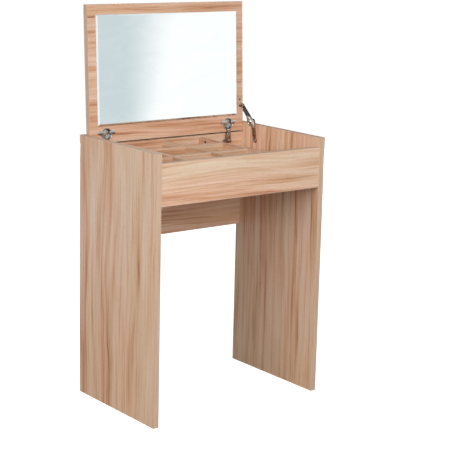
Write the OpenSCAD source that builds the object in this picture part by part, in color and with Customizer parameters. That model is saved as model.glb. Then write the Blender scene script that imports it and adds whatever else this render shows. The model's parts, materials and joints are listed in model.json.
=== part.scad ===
// Vanity table with a lift-up mirror lid over a divided make-up compartment.
// +X is to the sitter's right, +Y points to the wall behind, +Z is up.
// The origin is on the floor, under the middle of the whole table with its lid open.

/* [Carcass] */
// Overall width, outside to outside of the side panels
table_w = 600; // [580:5:620]
// Depth of the side panels
table_d = 390; // [384:2:396]
// Height of the side panels
table_h = 780; // [760:5:800]
// Thickness of the side panels and of the lid
panel_t = 18; // [17:0.5:20]
// Thickness of the apron, the back panel and the compartment floor
board_t = 15; // [14:0.5:15]
// Thickness of the edging strips glued to the visible board edges
edging_t = 1; // [0.5:0.1:1.5]

/* [Apron and back] */
// Height of the front apron
apron_h = 120; // [100:5:140]
// Depth of the apron's top edge below the tops of the side panels
apron_drop = 28; // [26:1:34]
// Setback of the apron from the front edges of the side panels
apron_recess = 2; // [1:0.5:2]
// Height of the back panel
back_h = 295; // [240:5:340]
// Setback of the back panel from the rear edges of the side panels
back_recess = 3; // [2:0.5:4]

/* [Compartment] */
// Thickness of the divider boards
divider_t = 12; // [9:1:15]
// Clear width of each of the three divided columns
cell_w = 124; // [110:1:126]
// Depth of the dividers' top edges below the apron's top edge
divider_drop = 9.6; // [8:0.2:20]
// Height of the compartment floor's underside above the apron's bottom edge
floor_lift = 6; // [0:1:12]

/* [Lid] */
// Length of the lid from its hinge edge to its free edge
lid_l = 398.5; // [396:0.5:398.5]
// Gap on each side, between the lid and the side panels
lid_side_gap = 1; // [0.5:0.25:2]
// Gap under the closed lid, above the apron
lid_rest_gap = 2.2; // [1.5:0.1:3]
// Angle through which the lid opens, just past upright
open_angle = 92.7; // [88:0.1:96]
// Width of the mirror
mirror_w = 507; // [480:1:510]
// Height of the mirror, along the lid
mirror_l = 318.6; // [300:0.2:318.6]
// Bare margin between the lid's hinge edge and the mirror
mirror_margin = 50.1; // [50.1:0.1:56]
// Thickness of the mirror glass
mirror_t = 4; // [3:0.5:4]

/* [Hinges] */
// Distance of each hinge from the table's middle plane
hinge_x = 223; // [200:1:226]
// Distance of the cup's centre from the lid's hinge edge
cup_v = 23; // [22:0.5:23]
// Depth of the cup's bore in the lid
cup_depth = 13; // [13:0.25:14]
// Distance of the hinge axis behind the back panel's front face
axis_inset = 3.8; // [3.6:0.1:4]
// Depth of the hinge axis inside the lid, from its mirror face
axis_depth = 9.5; // [9.3:0.1:9.5]
// Distance of the hinge axis from the lid's hinge edge
axis_edge = 10.3; // [10.1:0.1:10.5]

/* [Lid stay] */
// Distance of the lower pivot in front of the back panel
stay_reach = 69; // [68:0.5:70]
// Depth of the lower pivot below the tops of the side panels
stay_drop = 49; // [48:0.5:50]
// Distance of the upper pivot from the lid's hinge edge
stay_v = 79; // [78:0.5:80]
// Length of the lower arm between its pivots
lower_arm_l = 58; // [58:0.5:60]
// Length of the upper arm between its pivots
upper_arm_l = 66.5; // [66:0.5:68]
// Thickness of the arms
arm_t = 2; // [1.5:0.1:2]

/* [Hidden] */
$fn = 48;

// Colours
oak = "burlywood";
oak_light = "wheat";
oak_edge = "tan";
nickel = "silver";
steel = "slategray";
zinc = "lightsteelblue";

// Carcass planes, before the whole table is centred on its origin
side_x = table_w / 2 - panel_t;
front_y = -table_d / 2;
rear_y = table_d / 2;
apron_y = front_y + apron_recess;
apron_back_y = apron_y + board_t;
apron_top = table_h - apron_drop;
apron_bottom = apron_top - apron_h;
back_rear_y = rear_y - back_recess;
back_y = back_rear_y - board_t;

// Hinge axis and lid
lid_under_z = apron_top + lid_rest_gap;
axis_y = back_y + axis_inset;
axis_z = lid_under_z + axis_depth;
lid_w = 2 * (side_x - lid_side_gap);
lid_swing_r = sqrt(axis_edge * axis_edge + axis_depth * axis_depth);
back_clearance = 0.5;
back_top = axis_z - lid_swing_r - back_clearance;
back_bottom = back_top - back_h;

// The open lid leans back past the side panels, so the table is centred on both together
lid_rear_y = axis_y + (lid_l - axis_edge) * -cos(open_angle) + (panel_t - axis_depth) * sin(open_angle);
centre_y = (max(rear_y, lid_rear_y) + front_y) / 2;

// Compartment
floor_bottom = apron_bottom + floor_lift;
floor_top = floor_bottom + board_t;
divider_top = apron_top - divider_drop;
divider_h = divider_top - floor_top;
compartment_d = back_y - apron_back_y;
cell_d = (compartment_d - 2 * divider_t) / 3;
divider_x = [for (i = [0 : 2]) -side_x + cell_w + i * (cell_w + divider_t)];
cross_y = [for (i = [0 : 1]) apron_back_y + cell_d + i * (cell_d + divider_t)];
cross_l = divider_x[2] + side_x;
lap_clearance = 0.1;

// Hidden fixings: positions [y, z] on the inner faces of the side panels
apron_mid_y = apron_y + board_t / 2;
back_mid_y = back_y + board_t / 2;
floor_mid_z = floor_bottom + board_t / 2;
fixing_edge = 30;
floor_fixing_y = 105;
apron_bolt = [apron_mid_y, (apron_top + floor_top) / 2];
back_bolts = [for (z = [back_bottom + fixing_edge, back_top - fixing_edge - 25]) [back_mid_y, z]];
floor_bolts = [for (y = [-floor_fixing_y, floor_fixing_y]) [y, floor_mid_z]];
bolt_places = concat([apron_bolt], back_bolts, floor_bolts);
dowel_places = concat(
    [for (z = [apron_bottom + 16, apron_top - 16]) [apron_mid_y, z]],
    [for (z = [back_bottom + fixing_edge + 32, back_top - fixing_edge - 57]) [back_mid_y, z]],
    [for (y = [-floor_fixing_y + 32, floor_fixing_y - 32]) [y, floor_mid_z]]
);
dowel_r = 4;
dowel_l = 30;
dowel_in_side = 11;
bolt_in_side = 11;
bolt_reach = 26;
bolt_thread_r = 3;
bolt_shank_r = 2.5;
bolt_head_r = 3.5;
bolt_bore_r = 4;
cam_r = 7.5;
cam_depth = 12;
cam_setback = 24;
cam_slot_w = 1.5;
cam_slot_d = 1.5;

// Small cam fixings that tie the right divider to the apron and the back panel
small_cam_r = 4.5;
small_cam_depth = 8;
small_cam_setback = 34;
small_cam_drop = 9.5;
wood_screw_r = 1.5;
wood_screw_l = 12;
screw_head_r = 3.2;
screw_head_t = 1.5;
small_bolt_r = 2;
small_bolt_in = 9;
divider_dowel_r = 3;
divider_dowel_l = 16;

// Mirror
tape_t = 0.8;
bevel_w = 5;
bevel_d = 1.2;

// Hinge hardware, around the standard 35 mm cup bore
cup_r = 17.5;
cup_wall = 1.2;
cup_floor_t = 1;
flange_t = 1.2;
flange_r = cup_r + 1.5;
wing_half = 24;
wing_r = 6;
wing_offset = 6;
cup_screw_r = 1.8;
pin_r = 1.1;
pin_clearance = 0.05;
pin_offset = cup_v - axis_edge + pin_r;
pin_half = sqrt(cup_r * cup_r - pin_offset * pin_offset) - 0.1;
knuckle_r = 2.2;
link_t = 3;
link_half = 5;
link_y = back_y - 8 - link_t;
link_foot_z = back_top - 15;
arm_half = 8.5;
arm_wall = 1.6;
arm_y = link_y - arm_wall;
hinge_arm_top = back_top + 2;
hinge_arm_l = 32;
hinge_arm_bottom = hinge_arm_top - hinge_arm_l;
plate_t = 2;
plate_wing_half = 16.5;
plate_wing_h = 11;
plate_screw_x = 12.4;
plate_screw_z = hinge_arm_bottom + 4;
plate_block_half = arm_half - arm_wall - 0.4;
plate_block_h = 14;
arm_screw_z = [hinge_arm_bottom + 8, hinge_arm_top - 8];
arm_screw_shank_r = 2;

// Lid stay, in planes one behind the other from the right side panel inwards
stay_gap = 0.3;
washer_t = 1.2;
side_washer_t = 0.9;
side_washer_r = 7.5;
lower_depth = 4.2;
upper_depth = 6.5;
arm_web_t = 1.4;
lower_arm_x = side_x - side_washer_t - stay_gap - lower_depth;
upper_arm_x = lower_arm_x - stay_gap - upper_depth;
eye_set_back = 0.1;
eye_plate_inset = 0.4;
lower_eye_x = lower_arm_x + lower_depth - eye_set_back - arm_t;
upper_eye_x = upper_arm_x + upper_depth - eye_set_back - arm_t;
ear_t = 2;
ear_x = upper_eye_x - stay_gap - ear_t;
housing_t = 4.5;
housing_x = upper_arm_x - housing_t;
housing_r = 13;
housing_half_l = 25;
housing_shoulder = [7, 11.2];
bracket_t = 1.5;
bracket_w = 12;
bracket_v = [stay_v - 9, stay_v + 25];
bracket_x = ear_x + ear_t - bracket_w;
bracket_screw_x = bracket_x + bracket_w / 2;
bracket_screw_v = [stay_v - 2.5, stay_v + 18.5];
stay_d = 7;
ear_r = 5.5;
pivot_head_r = 5;
rivet_head_r = 4;
rivet_shank_r = 2.5;
lower_eye_r = 8;
upper_eye_r = 6;
elbow_r = 9;
lower_arm_half = [6.2, 8.2];
upper_arm_half = [6.2, 7.4];
lower_channel_start = 12;
upper_channel_start = 13;
stay_pin_r = 3;
stay_screw_l = 13;
lower_pivot = [back_y - stay_reach, table_h - stay_drop];
upper_pivot = lid_point(stay_v, stay_d);
elbow = elbow_point(lower_pivot, upper_pivot, lower_arm_l, upper_arm_l);

// Place in the carcass of a point v along the open lid and d in front of its mirror face
function lid_point(v, d) = [
    axis_y + (axis_edge - v) * cos(open_angle) - (axis_depth + d) * sin(open_angle),
    axis_z - (axis_edge - v) * sin(open_angle) - (axis_depth + d) * cos(open_angle)
];

// Third corner of the triangle on p and q with sides a from p and b from q, on the front side
function elbow_point(p, q, a, b) =
    let (span = norm(q - p), u = (q - p) / span,
         along = (a * a - b * b + span * span) / (2 * span),
         out = sqrt(a * a - along * along))
    [p[0] + along * u[0] - out * u[1], p[1] + along * u[1] + out * u[0]];

// Centres the whole table on its origin
module place() translate([0, -centre_y, 0]) children();

// Turns a flat shape in y and z into a plate of thickness t that starts at x
module plate_x(x, t) translate([x, 0, 0]) rotate([90, 0, 90]) linear_extrude(t) children();

// A round bar along +X from x, centred on [y, z]
module bar_x(x, y, z, r, l) translate([x, y, z]) rotate([0, 90, 0]) cylinder(r = r, h = l);

// A round bar along +Y from y, centred on [x, z]
module bar_y(x, y, z, r, l) translate([x, y, z]) rotate([-90, 0, 0]) cylinder(r = r, h = l);

// The open lid's own frame: x across, y from its hinge edge to its free edge, z out of its mirror face
module on_lid() place() translate([0, axis_y, axis_z]) rotate([180 - open_angle, 0, 0])
    translate([0, -axis_edge, axis_depth]) children();

// Turns a shape drawn with +x from the pivot p towards q into their own place in y and z
module along_arm(p, q) translate(p) rotate(atan2(q[1] - p[1], q[0] - p[0])) children();

// The part of a tapered bar of length l between a and b along it, less a wall at each side
module taper(l, half, a, b, wall = 0) {
    w_a = half[0] + (half[1] - half[0]) * a / l - wall;
    w_b = half[0] + (half[1] - half[0]) * b / l - wall;
    polygon([[a, -w_a], [b, -w_b], [b, w_b], [a, w_a]]);
}

// A stay arm from the pivot p to the elbow q: a flat eye, then a deeper channel open towards +X
module stay_arm(x, depth, eye_x, p, q, eye_r, half, start) {
    l = norm(q - p);
    difference() {
        union() {
            plate_x(eye_x, arm_t) along_arm(p, q) taper(l, half, 0, start + 0.7, eye_plate_inset);
            bar_x(eye_x, p[0], p[1], eye_r, arm_t);
            plate_x(x, depth) along_arm(p, q) taper(l, half, start, l);
            bar_x(x, q[0], q[1], elbow_r, depth);
        }
        plate_x(x + arm_web_t, depth) along_arm(p, q)
            taper(l, half, start + arm_web_t, l - elbow_r - 2, arm_web_t);
    }
}

// Side panels

module side_bores(s) {
    for (p = bolt_places) mirror([s < 0 ? 1 : 0, 0, 0])
        bar_x(side_x, p[0], p[1], bolt_thread_r, bolt_in_side);
    for (p = dowel_places) mirror([s < 0 ? 1 : 0, 0, 0])
        bar_x(side_x, p[0], p[1], dowel_r, dowel_in_side);
}

module side_panel(s) place() difference() {
    translate([s < 0 ? -table_w / 2 : side_x, front_y + edging_t, 0])
        cube([panel_t, table_d - 2 * edging_t, table_h - edging_t]);
    side_bores(s);
    if (s > 0) bar_x(side_x, lower_pivot[0], lower_pivot[1], small_bolt_r, stay_screw_l);
    if (s < 0) for (y = cross_y) mirror([1, 0, 0])
        bar_x(side_x, y + divider_t / 2, floor_top + divider_h / 2, divider_dowel_r, divider_dowel_l / 2);
}

module side_edging(s) place() translate([s < 0 ? -table_w / 2 : side_x, 0, 0]) {
    translate([0, front_y, 0]) cube([panel_t, edging_t, table_h]);
    translate([0, rear_y - edging_t, 0]) cube([panel_t, edging_t, table_h]);
    translate([0, front_y + edging_t, table_h - edging_t]) cube([panel_t, table_d - 2 * edging_t, edging_t]);
}

module left_side_panel() color(oak) side_panel(-1);
module right_side_panel() color(oak) side_panel(1);
module left_side_edging() color(oak_edge) side_edging(-1);
module right_side_edging() color(oak_edge) side_edging(1);

// Bores in the ends of the boards that run between the side panels

module end_bores(bolts, dowels) for (m = [0, 1]) mirror([m, 0, 0]) {
    for (p = bolts) bar_x(side_x - bolt_reach, p[0], p[1], bolt_bore_r, bolt_reach);
    for (p = dowels) bar_x(side_x - (dowel_l - dowel_in_side), p[0], p[1], dowel_r, dowel_l - dowel_in_side);
}

// Bores for the small cam bolt of the right divider, in the board at one end of the compartment

module small_bolt_bore(y) bar_y(divider_x[2] + divider_t / 2, y, divider_top - small_cam_drop,
    small_bolt_r, small_bolt_in);

module divider_end_bores(y) for (i = [0, 1])
    bar_y(divider_x[i] + divider_t / 2, y, floor_top + divider_h / 2, divider_dowel_r, divider_dowel_l / 2);

module front_apron() color(oak_light) place() difference() {
    translate([-side_x, apron_y, apron_bottom + edging_t])
        cube([2 * side_x, board_t, apron_h - 2 * edging_t]);
    end_bores([apron_bolt], [for (i = [0, 1]) dowel_places[i]]);
    for (m = [0, 1]) mirror([m, 0, 0])
        bar_y(side_x - cam_setback, apron_back_y - cam_depth, apron_bolt[1], cam_r, cam_depth + 1);
    small_bolt_bore(apron_back_y - small_bolt_in);
    divider_end_bores(apron_back_y - divider_dowel_l / 2);
}

module apron_edging() color(oak_edge) place() for (z = [apron_bottom, apron_top - edging_t])
    translate([-side_x, apron_y, z]) cube([2 * side_x, board_t, edging_t]);

module back_panel() color(oak) place() difference() {
    translate([-side_x, back_y, back_bottom + edging_t]) cube([2 * side_x, board_t, back_h - 2 * edging_t]);
    end_bores(back_bolts, [for (i = [2, 3]) dowel_places[i]]);
    for (m = [0, 1], p = back_bolts) mirror([m, 0, 0])
        bar_y(side_x - cam_setback, back_rear_y - cam_depth, p[1], cam_r, cam_depth + 1);
    small_bolt_bore(back_y);
    divider_end_bores(back_y);
    hinge_plate_screw_shanks();
}

module back_panel_edging() color(oak_edge) place() for (z = [back_bottom, back_top - edging_t])
    translate([-side_x, back_y, z]) cube([2 * side_x, board_t, edging_t]);

module compartment_floor() color(oak) place() difference() {
    translate([-side_x, apron_back_y, floor_bottom]) cube([2 * side_x, compartment_d, board_t]);
    end_bores(floor_bolts, [for (i = [4, 5]) dowel_places[i]]);
    for (m = [0, 1], p = floor_bolts) mirror([m, 0, 0])
        translate([side_x - cam_setback, p[0], floor_bottom - 1]) cylinder(r = cam_r, h = cam_depth + 1);
}

// Dividers: the long boards are slotted from above and the cross boards from below

module long_divider(i) difference() {
    translate([divider_x[i], apron_back_y, floor_top]) cube([divider_t, compartment_d, divider_h]);
    if (i < 2) for (y = cross_y)
        translate([divider_x[i] - 1, y - lap_clearance, floor_top + divider_h / 2])
            cube([divider_t + 2, divider_t + 2 * lap_clearance, divider_h]);
    if (i < 2) for (y = [apron_back_y, back_y - divider_dowel_l / 2])
        bar_y(divider_x[i] + divider_t / 2, y, floor_top + divider_h / 2,
            divider_dowel_r, divider_dowel_l / 2);
}

module left_divider() color(oak_light) place() long_divider(0);
module middle_divider() color(oak_light) place() long_divider(1);

module right_divider() color(oak_light) place() difference() {
    long_divider(2);
    for (y = [apron_back_y + small_cam_setback, back_y - small_cam_setback])
        bar_x(divider_x[2] - 1, y, divider_top - small_cam_drop, small_cam_r, small_cam_depth + 1);
    for (y = [apron_back_y, back_y - small_cam_setback])
        bar_y(divider_x[2] + divider_t / 2, y, divider_top - small_cam_drop,
            small_bolt_r + 0.5, small_cam_setback);
    for (y = cross_y)
        bar_x(divider_x[2], y + divider_t / 2, floor_top + divider_h / 2,
            divider_dowel_r, divider_dowel_l / 2);
}

module cross_divider(y) difference() {
    translate([-side_x, y, floor_top]) cube([cross_l, divider_t, divider_h]);
    for (i = [0, 1]) translate([divider_x[i] - lap_clearance, y - 1, floor_top - divider_h / 2])
        cube([divider_t + 2 * lap_clearance, divider_t + 2, divider_h]);
    for (x = [-side_x, divider_x[2] - divider_dowel_l / 2])
        bar_x(x, y + divider_t / 2, floor_top + divider_h / 2, divider_dowel_r, divider_dowel_l / 2);
}

module rear_cross_divider() color(oak_light) place() cross_divider(cross_y[1]);
module front_cross_divider() color(oak_light) place() cross_divider(cross_y[0]);

// Hidden fixings

module cam_bolt(p) {
    bar_x(side_x, p[0], p[1], bolt_thread_r, bolt_in_side);
    bar_x(side_x - bolt_reach, p[0], p[1], bolt_shank_r, bolt_reach);
    bar_x(side_x - bolt_reach, p[0], p[1], bolt_head_r, 3);
}

module cam_bolts() color(steel) place() for (m = [0, 1], p = bolt_places) mirror([m, 0, 0]) cam_bolt(p);

// The cam's drum stands along z from the bottom of its bore, with the way in for the bolt on its +X side
module cam_lock() difference() {
    cylinder(r = cam_r, h = cam_depth);
    bar_x(-bolt_bore_r, 0, cam_depth - board_t / 2, bolt_bore_r, cam_r + bolt_bore_r + 1);
    translate([-cam_r, -cam_slot_w / 2, cam_depth - cam_slot_d])
        cube([2 * cam_r, cam_slot_w, cam_slot_d + 1]);
}

module cam_locks() color(zinc) place() for (m = [0, 1]) mirror([m, 0, 0]) {
    translate([side_x - cam_setback, apron_back_y - cam_depth, apron_bolt[1]])
        rotate([-90, 0, 0]) cam_lock();
    for (p = back_bolts)
        translate([side_x - cam_setback, back_rear_y - cam_depth, p[1]]) rotate([-90, 0, 0]) cam_lock();
    for (p = floor_bolts)
        translate([side_x - cam_setback, p[0], floor_bottom + cam_depth]) rotate([180, 0, 0]) cam_lock();
}

module wooden_dowels() color(oak_light) place() for (m = [0, 1], p = dowel_places) mirror([m, 0, 0])
    bar_x(side_x - (dowel_l - dowel_in_side), p[0], p[1], dowel_r, dowel_l);

module divider_dowels() color(oak_light) place() {
    for (y = cross_y, x = [-side_x, divider_x[2]])
        bar_x(x - divider_dowel_l / 2, y + divider_t / 2, floor_top + divider_h / 2,
            divider_dowel_r, divider_dowel_l);
    for (i = [0, 1], y = [apron_back_y, back_y])
        bar_y(divider_x[i] + divider_t / 2, y - divider_dowel_l / 2, floor_top + divider_h / 2,
            divider_dowel_r, divider_dowel_l);
}

module divider_cam_bolts() color(steel) place()
    for (y = [apron_back_y - small_bolt_in, back_y - small_cam_setback])
        bar_y(divider_x[2] + divider_t / 2, y, divider_top - small_cam_drop,
            small_bolt_r, small_cam_setback + small_bolt_in);

module divider_cam_locks() color(steel) place() difference() {
    for (y = [apron_back_y + small_cam_setback, back_y - small_cam_setback])
        bar_x(divider_x[2] + 1, y, divider_top - small_cam_drop, small_cam_r, small_cam_depth - 1);
    bar_y(divider_x[2] + divider_t / 2, apron_back_y, divider_top - small_cam_drop, small_bolt_r + 0.3,
        compartment_d);
}

// Concealed hinges: the plate, arm and link stay on the back panel

module hinge_plate_outline() {
    translate([-arm_half + arm_wall, hinge_arm_bottom - 3]) square([2 * (arm_half - arm_wall), 30]);
    for (s = [-1, 1])
        translate([s * (plate_wing_half - plate_wing_h / 2), plate_screw_z]) circle(plate_wing_h / 2);
    translate([-plate_wing_half + plate_wing_h / 2, plate_screw_z - plate_wing_h / 2])
        square([2 * plate_wing_half - plate_wing_h, plate_wing_h]);
}

module hinge_plate(s) place() translate([s * hinge_x, 0, 0]) difference() {
    union() {
        translate([0, back_y, 0]) rotate([90, 0, 0]) linear_extrude(plate_t) hinge_plate_outline();
        translate([-plate_block_half, link_y + 1, hinge_arm_bottom])
            cube([2 * plate_block_half, back_y - plate_t - link_y - 1, plate_block_h]);
    }
    for (x = [-plate_screw_x, plate_screw_x])
        bar_y(x, back_y - plate_t - 1, plate_screw_z, wood_screw_r, plate_t + 2);
    bar_y(0, link_y, arm_screw_z[0], arm_screw_shank_r, link_t);
}

module left_hinge_plate() color(nickel) hinge_plate(-1);
module right_hinge_plate() color(nickel) hinge_plate(1);

module hinge_arm(s) place() translate([s * hinge_x, 0, hinge_arm_bottom]) difference() {
    translate([-arm_half, arm_y, 0]) cube([2 * arm_half, back_y - plate_t - arm_y, hinge_arm_l]);
    translate([-arm_half + arm_wall, arm_y + arm_wall, -1])
        cube([2 * (arm_half - arm_wall), board_t, hinge_arm_l + 2]);
    for (z = arm_screw_z) bar_y(0, arm_y - 1, z - hinge_arm_bottom, arm_screw_shank_r, arm_wall + 2);
}

module left_hinge_arm() color(nickel) hinge_arm(-1);
module right_hinge_arm() color(nickel) hinge_arm(1);

// The link rises out of the arm and hooks back over the lid's edge into the cup
module hinge_link(s) place() translate([s * hinge_x, 0, 0]) difference() {
    union() {
        translate([-link_half, link_y, link_foot_z])
            cube([2 * link_half, link_t, axis_z + link_t / 2 - link_foot_z]);
        translate([-link_half, link_y, axis_z - link_t / 2]) cube([2 * link_half, axis_y - link_y, link_t]);
        bar_x(-link_half, axis_y, axis_z, knuckle_r, 2 * link_half);
    }
    bar_x(-link_half - 1, axis_y, axis_z, pin_r + pin_clearance, 2 * link_half + 2);
    bar_y(0, link_y - 1, arm_screw_z[1], arm_screw_shank_r, link_t + 2);
}

module left_hinge_link() color(nickel) hinge_link(-1);
module right_hinge_link() color(nickel) hinge_link(1);

module hinge_plate_screw_shanks() for (s = [-1, 1], x = [-plate_screw_x, plate_screw_x])
    bar_y(s * hinge_x + x, back_y - plate_t, plate_screw_z, wood_screw_r, wood_screw_l + 1);

module hinge_plate_screws() color(nickel) place() {
    hinge_plate_screw_shanks();
    for (s = [-1, 1], x = [-plate_screw_x, plate_screw_x])
        bar_y(s * hinge_x + x, back_y - plate_t - screw_head_t, plate_screw_z, screw_head_r, screw_head_t);
}

module hinge_arm_screws() color(steel) place() for (s = [-1, 1], z = arm_screw_z) {
    bar_y(s * hinge_x, arm_y - screw_head_t, z, screw_head_r, screw_head_t);
    bar_y(s * hinge_x, arm_y, z, arm_screw_shank_r, arm_wall + link_t);
}

// Lid

module lid_board() color(oak) on_lid() difference() {
    translate([-lid_w / 2 + edging_t, edging_t, -panel_t])
        cube([lid_w - 2 * edging_t, lid_l - 2 * edging_t, panel_t]);
    for (s = [-1, 1]) translate([s * hinge_x, cup_v, -cup_depth]) cylinder(r = cup_r, h = cup_depth + 1);
    cup_screw_shanks();
    bracket_screw_shanks();
}

module lid_edging() color(oak_edge) on_lid() translate([0, 0, -panel_t]) {
    for (v = [0, lid_l - edging_t]) translate([-lid_w / 2, v, 0]) cube([lid_w, edging_t, panel_t]);
    for (x = [-lid_w / 2, lid_w / 2 - edging_t]) translate([x, edging_t, 0])
        cube([edging_t, lid_l - 2 * edging_t, panel_t]);
}

// Outline across the glass, with a shallow bevel along both edges
module glass_section(w) polygon([
    [-w / 2, 0], [w / 2, 0], [w / 2, mirror_t - bevel_d], [w / 2 - bevel_w, mirror_t],
    [-w / 2 + bevel_w, mirror_t], [-w / 2, mirror_t - bevel_d]
]);

module glass_plate() intersection() {
    translate([0, mirror_l / 2, 0]) rotate([90, 0, 0]) linear_extrude(mirror_l) glass_section(mirror_w);
    rotate([0, 0, 90]) translate([0, mirror_w / 2, 0]) rotate([90, 0, 0]) linear_extrude(mirror_w)
        glass_section(mirror_l);
    translate([-mirror_w / 2, -mirror_l / 2, 0]) cube([mirror_w, mirror_l, mirror_t]);
}

module lid_mirror() color("azure") on_lid()
    translate([0, mirror_margin + mirror_l / 2, tape_t]) glass_plate();

module mirror_tape() color("gainsboro") on_lid() for (x = [-180, -60, 60, 180])
    translate([x - 12, mirror_margin + 20, 0]) cube([24, mirror_l - 40, tape_t]);

// Concealed hinges: the cup, its pin and its screws move with the lid

module cup_screw_places() for (s = [-1, 1], x = [-wing_half, wing_half])
    translate([s * hinge_x + x, cup_v + wing_offset, 0]) children();

module cup_screw_shanks() cup_screw_places() translate([0, 0, -wood_screw_l])
    cylinder(r = wood_screw_r, h = wood_screw_l);

module hinge_cup(s) on_lid() translate([s * hinge_x, cup_v, 0]) difference() {
    union() {
        translate([0, 0, -cup_depth]) cylinder(r = cup_r, h = cup_depth);
        cylinder(r = flange_r, h = flange_t);
        for (x = [-wing_half, wing_half]) translate([x, wing_offset, 0]) cylinder(r = wing_r, h = flange_t);
        translate([-wing_half, wing_offset - wing_r, 0]) cube([2 * wing_half, 2 * wing_r, flange_t]);
    }
    translate([0, 0, -cup_depth + cup_floor_t]) cylinder(r = cup_r - cup_wall, h = cup_depth + 2);
    for (x = [-wing_half, wing_half]) translate([x, wing_offset, -1])
        cylinder(r = wood_screw_r, h = flange_t + 2);
    bar_x(-pin_half, axis_edge - cup_v, -axis_depth, pin_r, 2 * pin_half);
}

module left_hinge_cup() color(nickel) hinge_cup(-1);
module right_hinge_cup() color(nickel) hinge_cup(1);

module hinge_pin(s) on_lid() bar_x(s * hinge_x - pin_half, axis_edge, -axis_depth, pin_r, 2 * pin_half);

module left_hinge_pin() color(steel) hinge_pin(-1);
module right_hinge_pin() color(steel) hinge_pin(1);

module hinge_cup_screws() color(nickel) on_lid() {
    cup_screw_places() translate([0, 0, flange_t]) cylinder(r = screw_head_r, h = screw_head_t);
    cup_screw_places() cylinder(r = wood_screw_r, h = flange_t);
    cup_screw_shanks();
}

// Lid stay: the bracket on the lid, with an ear for the upper pivot

module bracket_screw_shanks() for (v = bracket_screw_v)
    translate([bracket_screw_x, v, -wood_screw_l]) cylinder(r = wood_screw_r, h = wood_screw_l);

module stay_lid_bracket() color(nickel) on_lid() difference() {
    union() {
        translate([bracket_x, bracket_v[0], 0])
            cube([bracket_w, bracket_v[1] - bracket_v[0], bracket_t]);
        translate([ear_x, stay_v - ear_r, 0]) cube([ear_t, 2 * ear_r, stay_d]);
        bar_x(ear_x, stay_v, stay_d, ear_r, ear_t);
    }
    for (v = bracket_screw_v)
        translate([bracket_screw_x, v, -1]) cylinder(r = wood_screw_r, h = bracket_t + 2);
    bar_x(ear_x - 1, stay_v, stay_d, rivet_shank_r, ear_t + 2);
}

module stay_bracket_screws() color(steel) on_lid() {
    for (v = bracket_screw_v) translate([bracket_screw_x, v, 0]) {
        translate([0, 0, bracket_t]) cylinder(r = screw_head_r, h = screw_head_t);
        cylinder(r = wood_screw_r, h = bracket_t);
    }
    bracket_screw_shanks();
}

module stay_lid_rivet() color(steel) on_lid() {
    bar_x(ear_x - washer_t, stay_v, stay_d, rivet_head_r, washer_t);
    bar_x(ear_x, stay_v, stay_d, rivet_shank_r, upper_eye_x + arm_t + stay_gap - ear_x);
    bar_x(upper_eye_x + arm_t + stay_gap, stay_v, stay_d, rivet_head_r, washer_t);
}

// Lid stay: pivot on the right side panel

module stay_side_washer() color(steel) place() difference() {
    bar_x(side_x - side_washer_t, lower_pivot[0], lower_pivot[1], side_washer_r, side_washer_t);
    bar_x(side_x - side_washer_t - 1, lower_pivot[0], lower_pivot[1], stay_pin_r, side_washer_t + 2);
}

module stay_side_screw() color(nickel) place() {
    bar_x(side_x, lower_pivot[0], lower_pivot[1], small_bolt_r, stay_screw_l);
    translate([lower_eye_x - stay_gap, 0, 0])
        bar_x(0, lower_pivot[0], lower_pivot[1], stay_pin_r, side_x - lower_eye_x + stay_gap);
    translate([lower_eye_x - stay_gap - screw_head_t, 0, 0])
        bar_x(0, lower_pivot[0], lower_pivot[1], pivot_head_r, screw_head_t);
}

// Lid stay: the arms lie side by side and meet at the elbow

module stay_lower_arm() color(nickel) place() difference() {
    stay_arm(lower_arm_x, lower_depth, lower_eye_x, lower_pivot, elbow, lower_eye_r, lower_arm_half,
        lower_channel_start);
    bar_x(lower_eye_x - 1, lower_pivot[0], lower_pivot[1], stay_pin_r + pin_clearance, arm_t + 2);
}

module stay_elbow_stud() color(steel) place() bar_x(lower_arm_x + lower_depth, elbow[0], elbow[1],
    rivet_head_r, 0.9);

module stay_upper_arm() color(steel) place() difference() {
    stay_arm(upper_arm_x, upper_depth, upper_eye_x, upper_pivot, elbow, upper_eye_r, upper_arm_half,
        upper_channel_start);
    bar_x(upper_eye_x - 1, upper_pivot[0], upper_pivot[1], rivet_shank_r + pin_clearance, arm_t + 2);
}

// Lens-shaped locking housing on the upper arm's end, a body with two pointed ends along the arm

module stay_elbow_housing() color(nickel) place() {
    u = (upper_pivot - elbow) / norm(upper_pivot - elbow);
    n = [-u[1], u[0]];
    su = housing_shoulder[0] * u;
    sn = housing_shoulder[1] * n;
    bar_x(housing_x, elbow[0], elbow[1], housing_r, housing_t);
    plate_x(housing_x, housing_t) polygon([
        elbow + housing_half_l * u, elbow + su + sn, elbow - su + sn,
        elbow - housing_half_l * u + su, elbow - su - sn, elbow + su - sn
    ]);
}

module stay_elbow_cap() color(steel) place() bar_x(housing_x - washer_t, elbow[0], elbow[1],
    pivot_head_r, washer_t);

left_side_panel();
right_side_panel();
left_side_edging();
right_side_edging();
front_apron();
apron_edging();
back_panel();
back_panel_edging();
compartment_floor();
left_divider();
middle_divider();
right_divider();
rear_cross_divider();
front_cross_divider();
cam_bolts();
cam_locks();
wooden_dowels();
divider_dowels();
divider_cam_bolts();
divider_cam_locks();
left_hinge_plate();
right_hinge_plate();
left_hinge_arm();
right_hinge_arm();
left_hinge_link();
right_hinge_link();
hinge_plate_screws();
hinge_arm_screws();
stay_side_screw();
stay_side_washer();
lid_board();
lid_edging();
lid_mirror();
mirror_tape();
left_hinge_cup();
right_hinge_cup();
left_hinge_pin();
right_hinge_pin();
hinge_cup_screws();
stay_lid_bracket();
stay_bracket_screws();
stay_lid_rivet();
stay_lower_arm();
stay_elbow_stud();
stay_upper_arm();
stay_elbow_housing();
stay_elbow_cap();
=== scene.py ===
import json
import math

import bmesh
import bpy
from mathutils import Matrix, Vector

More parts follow.
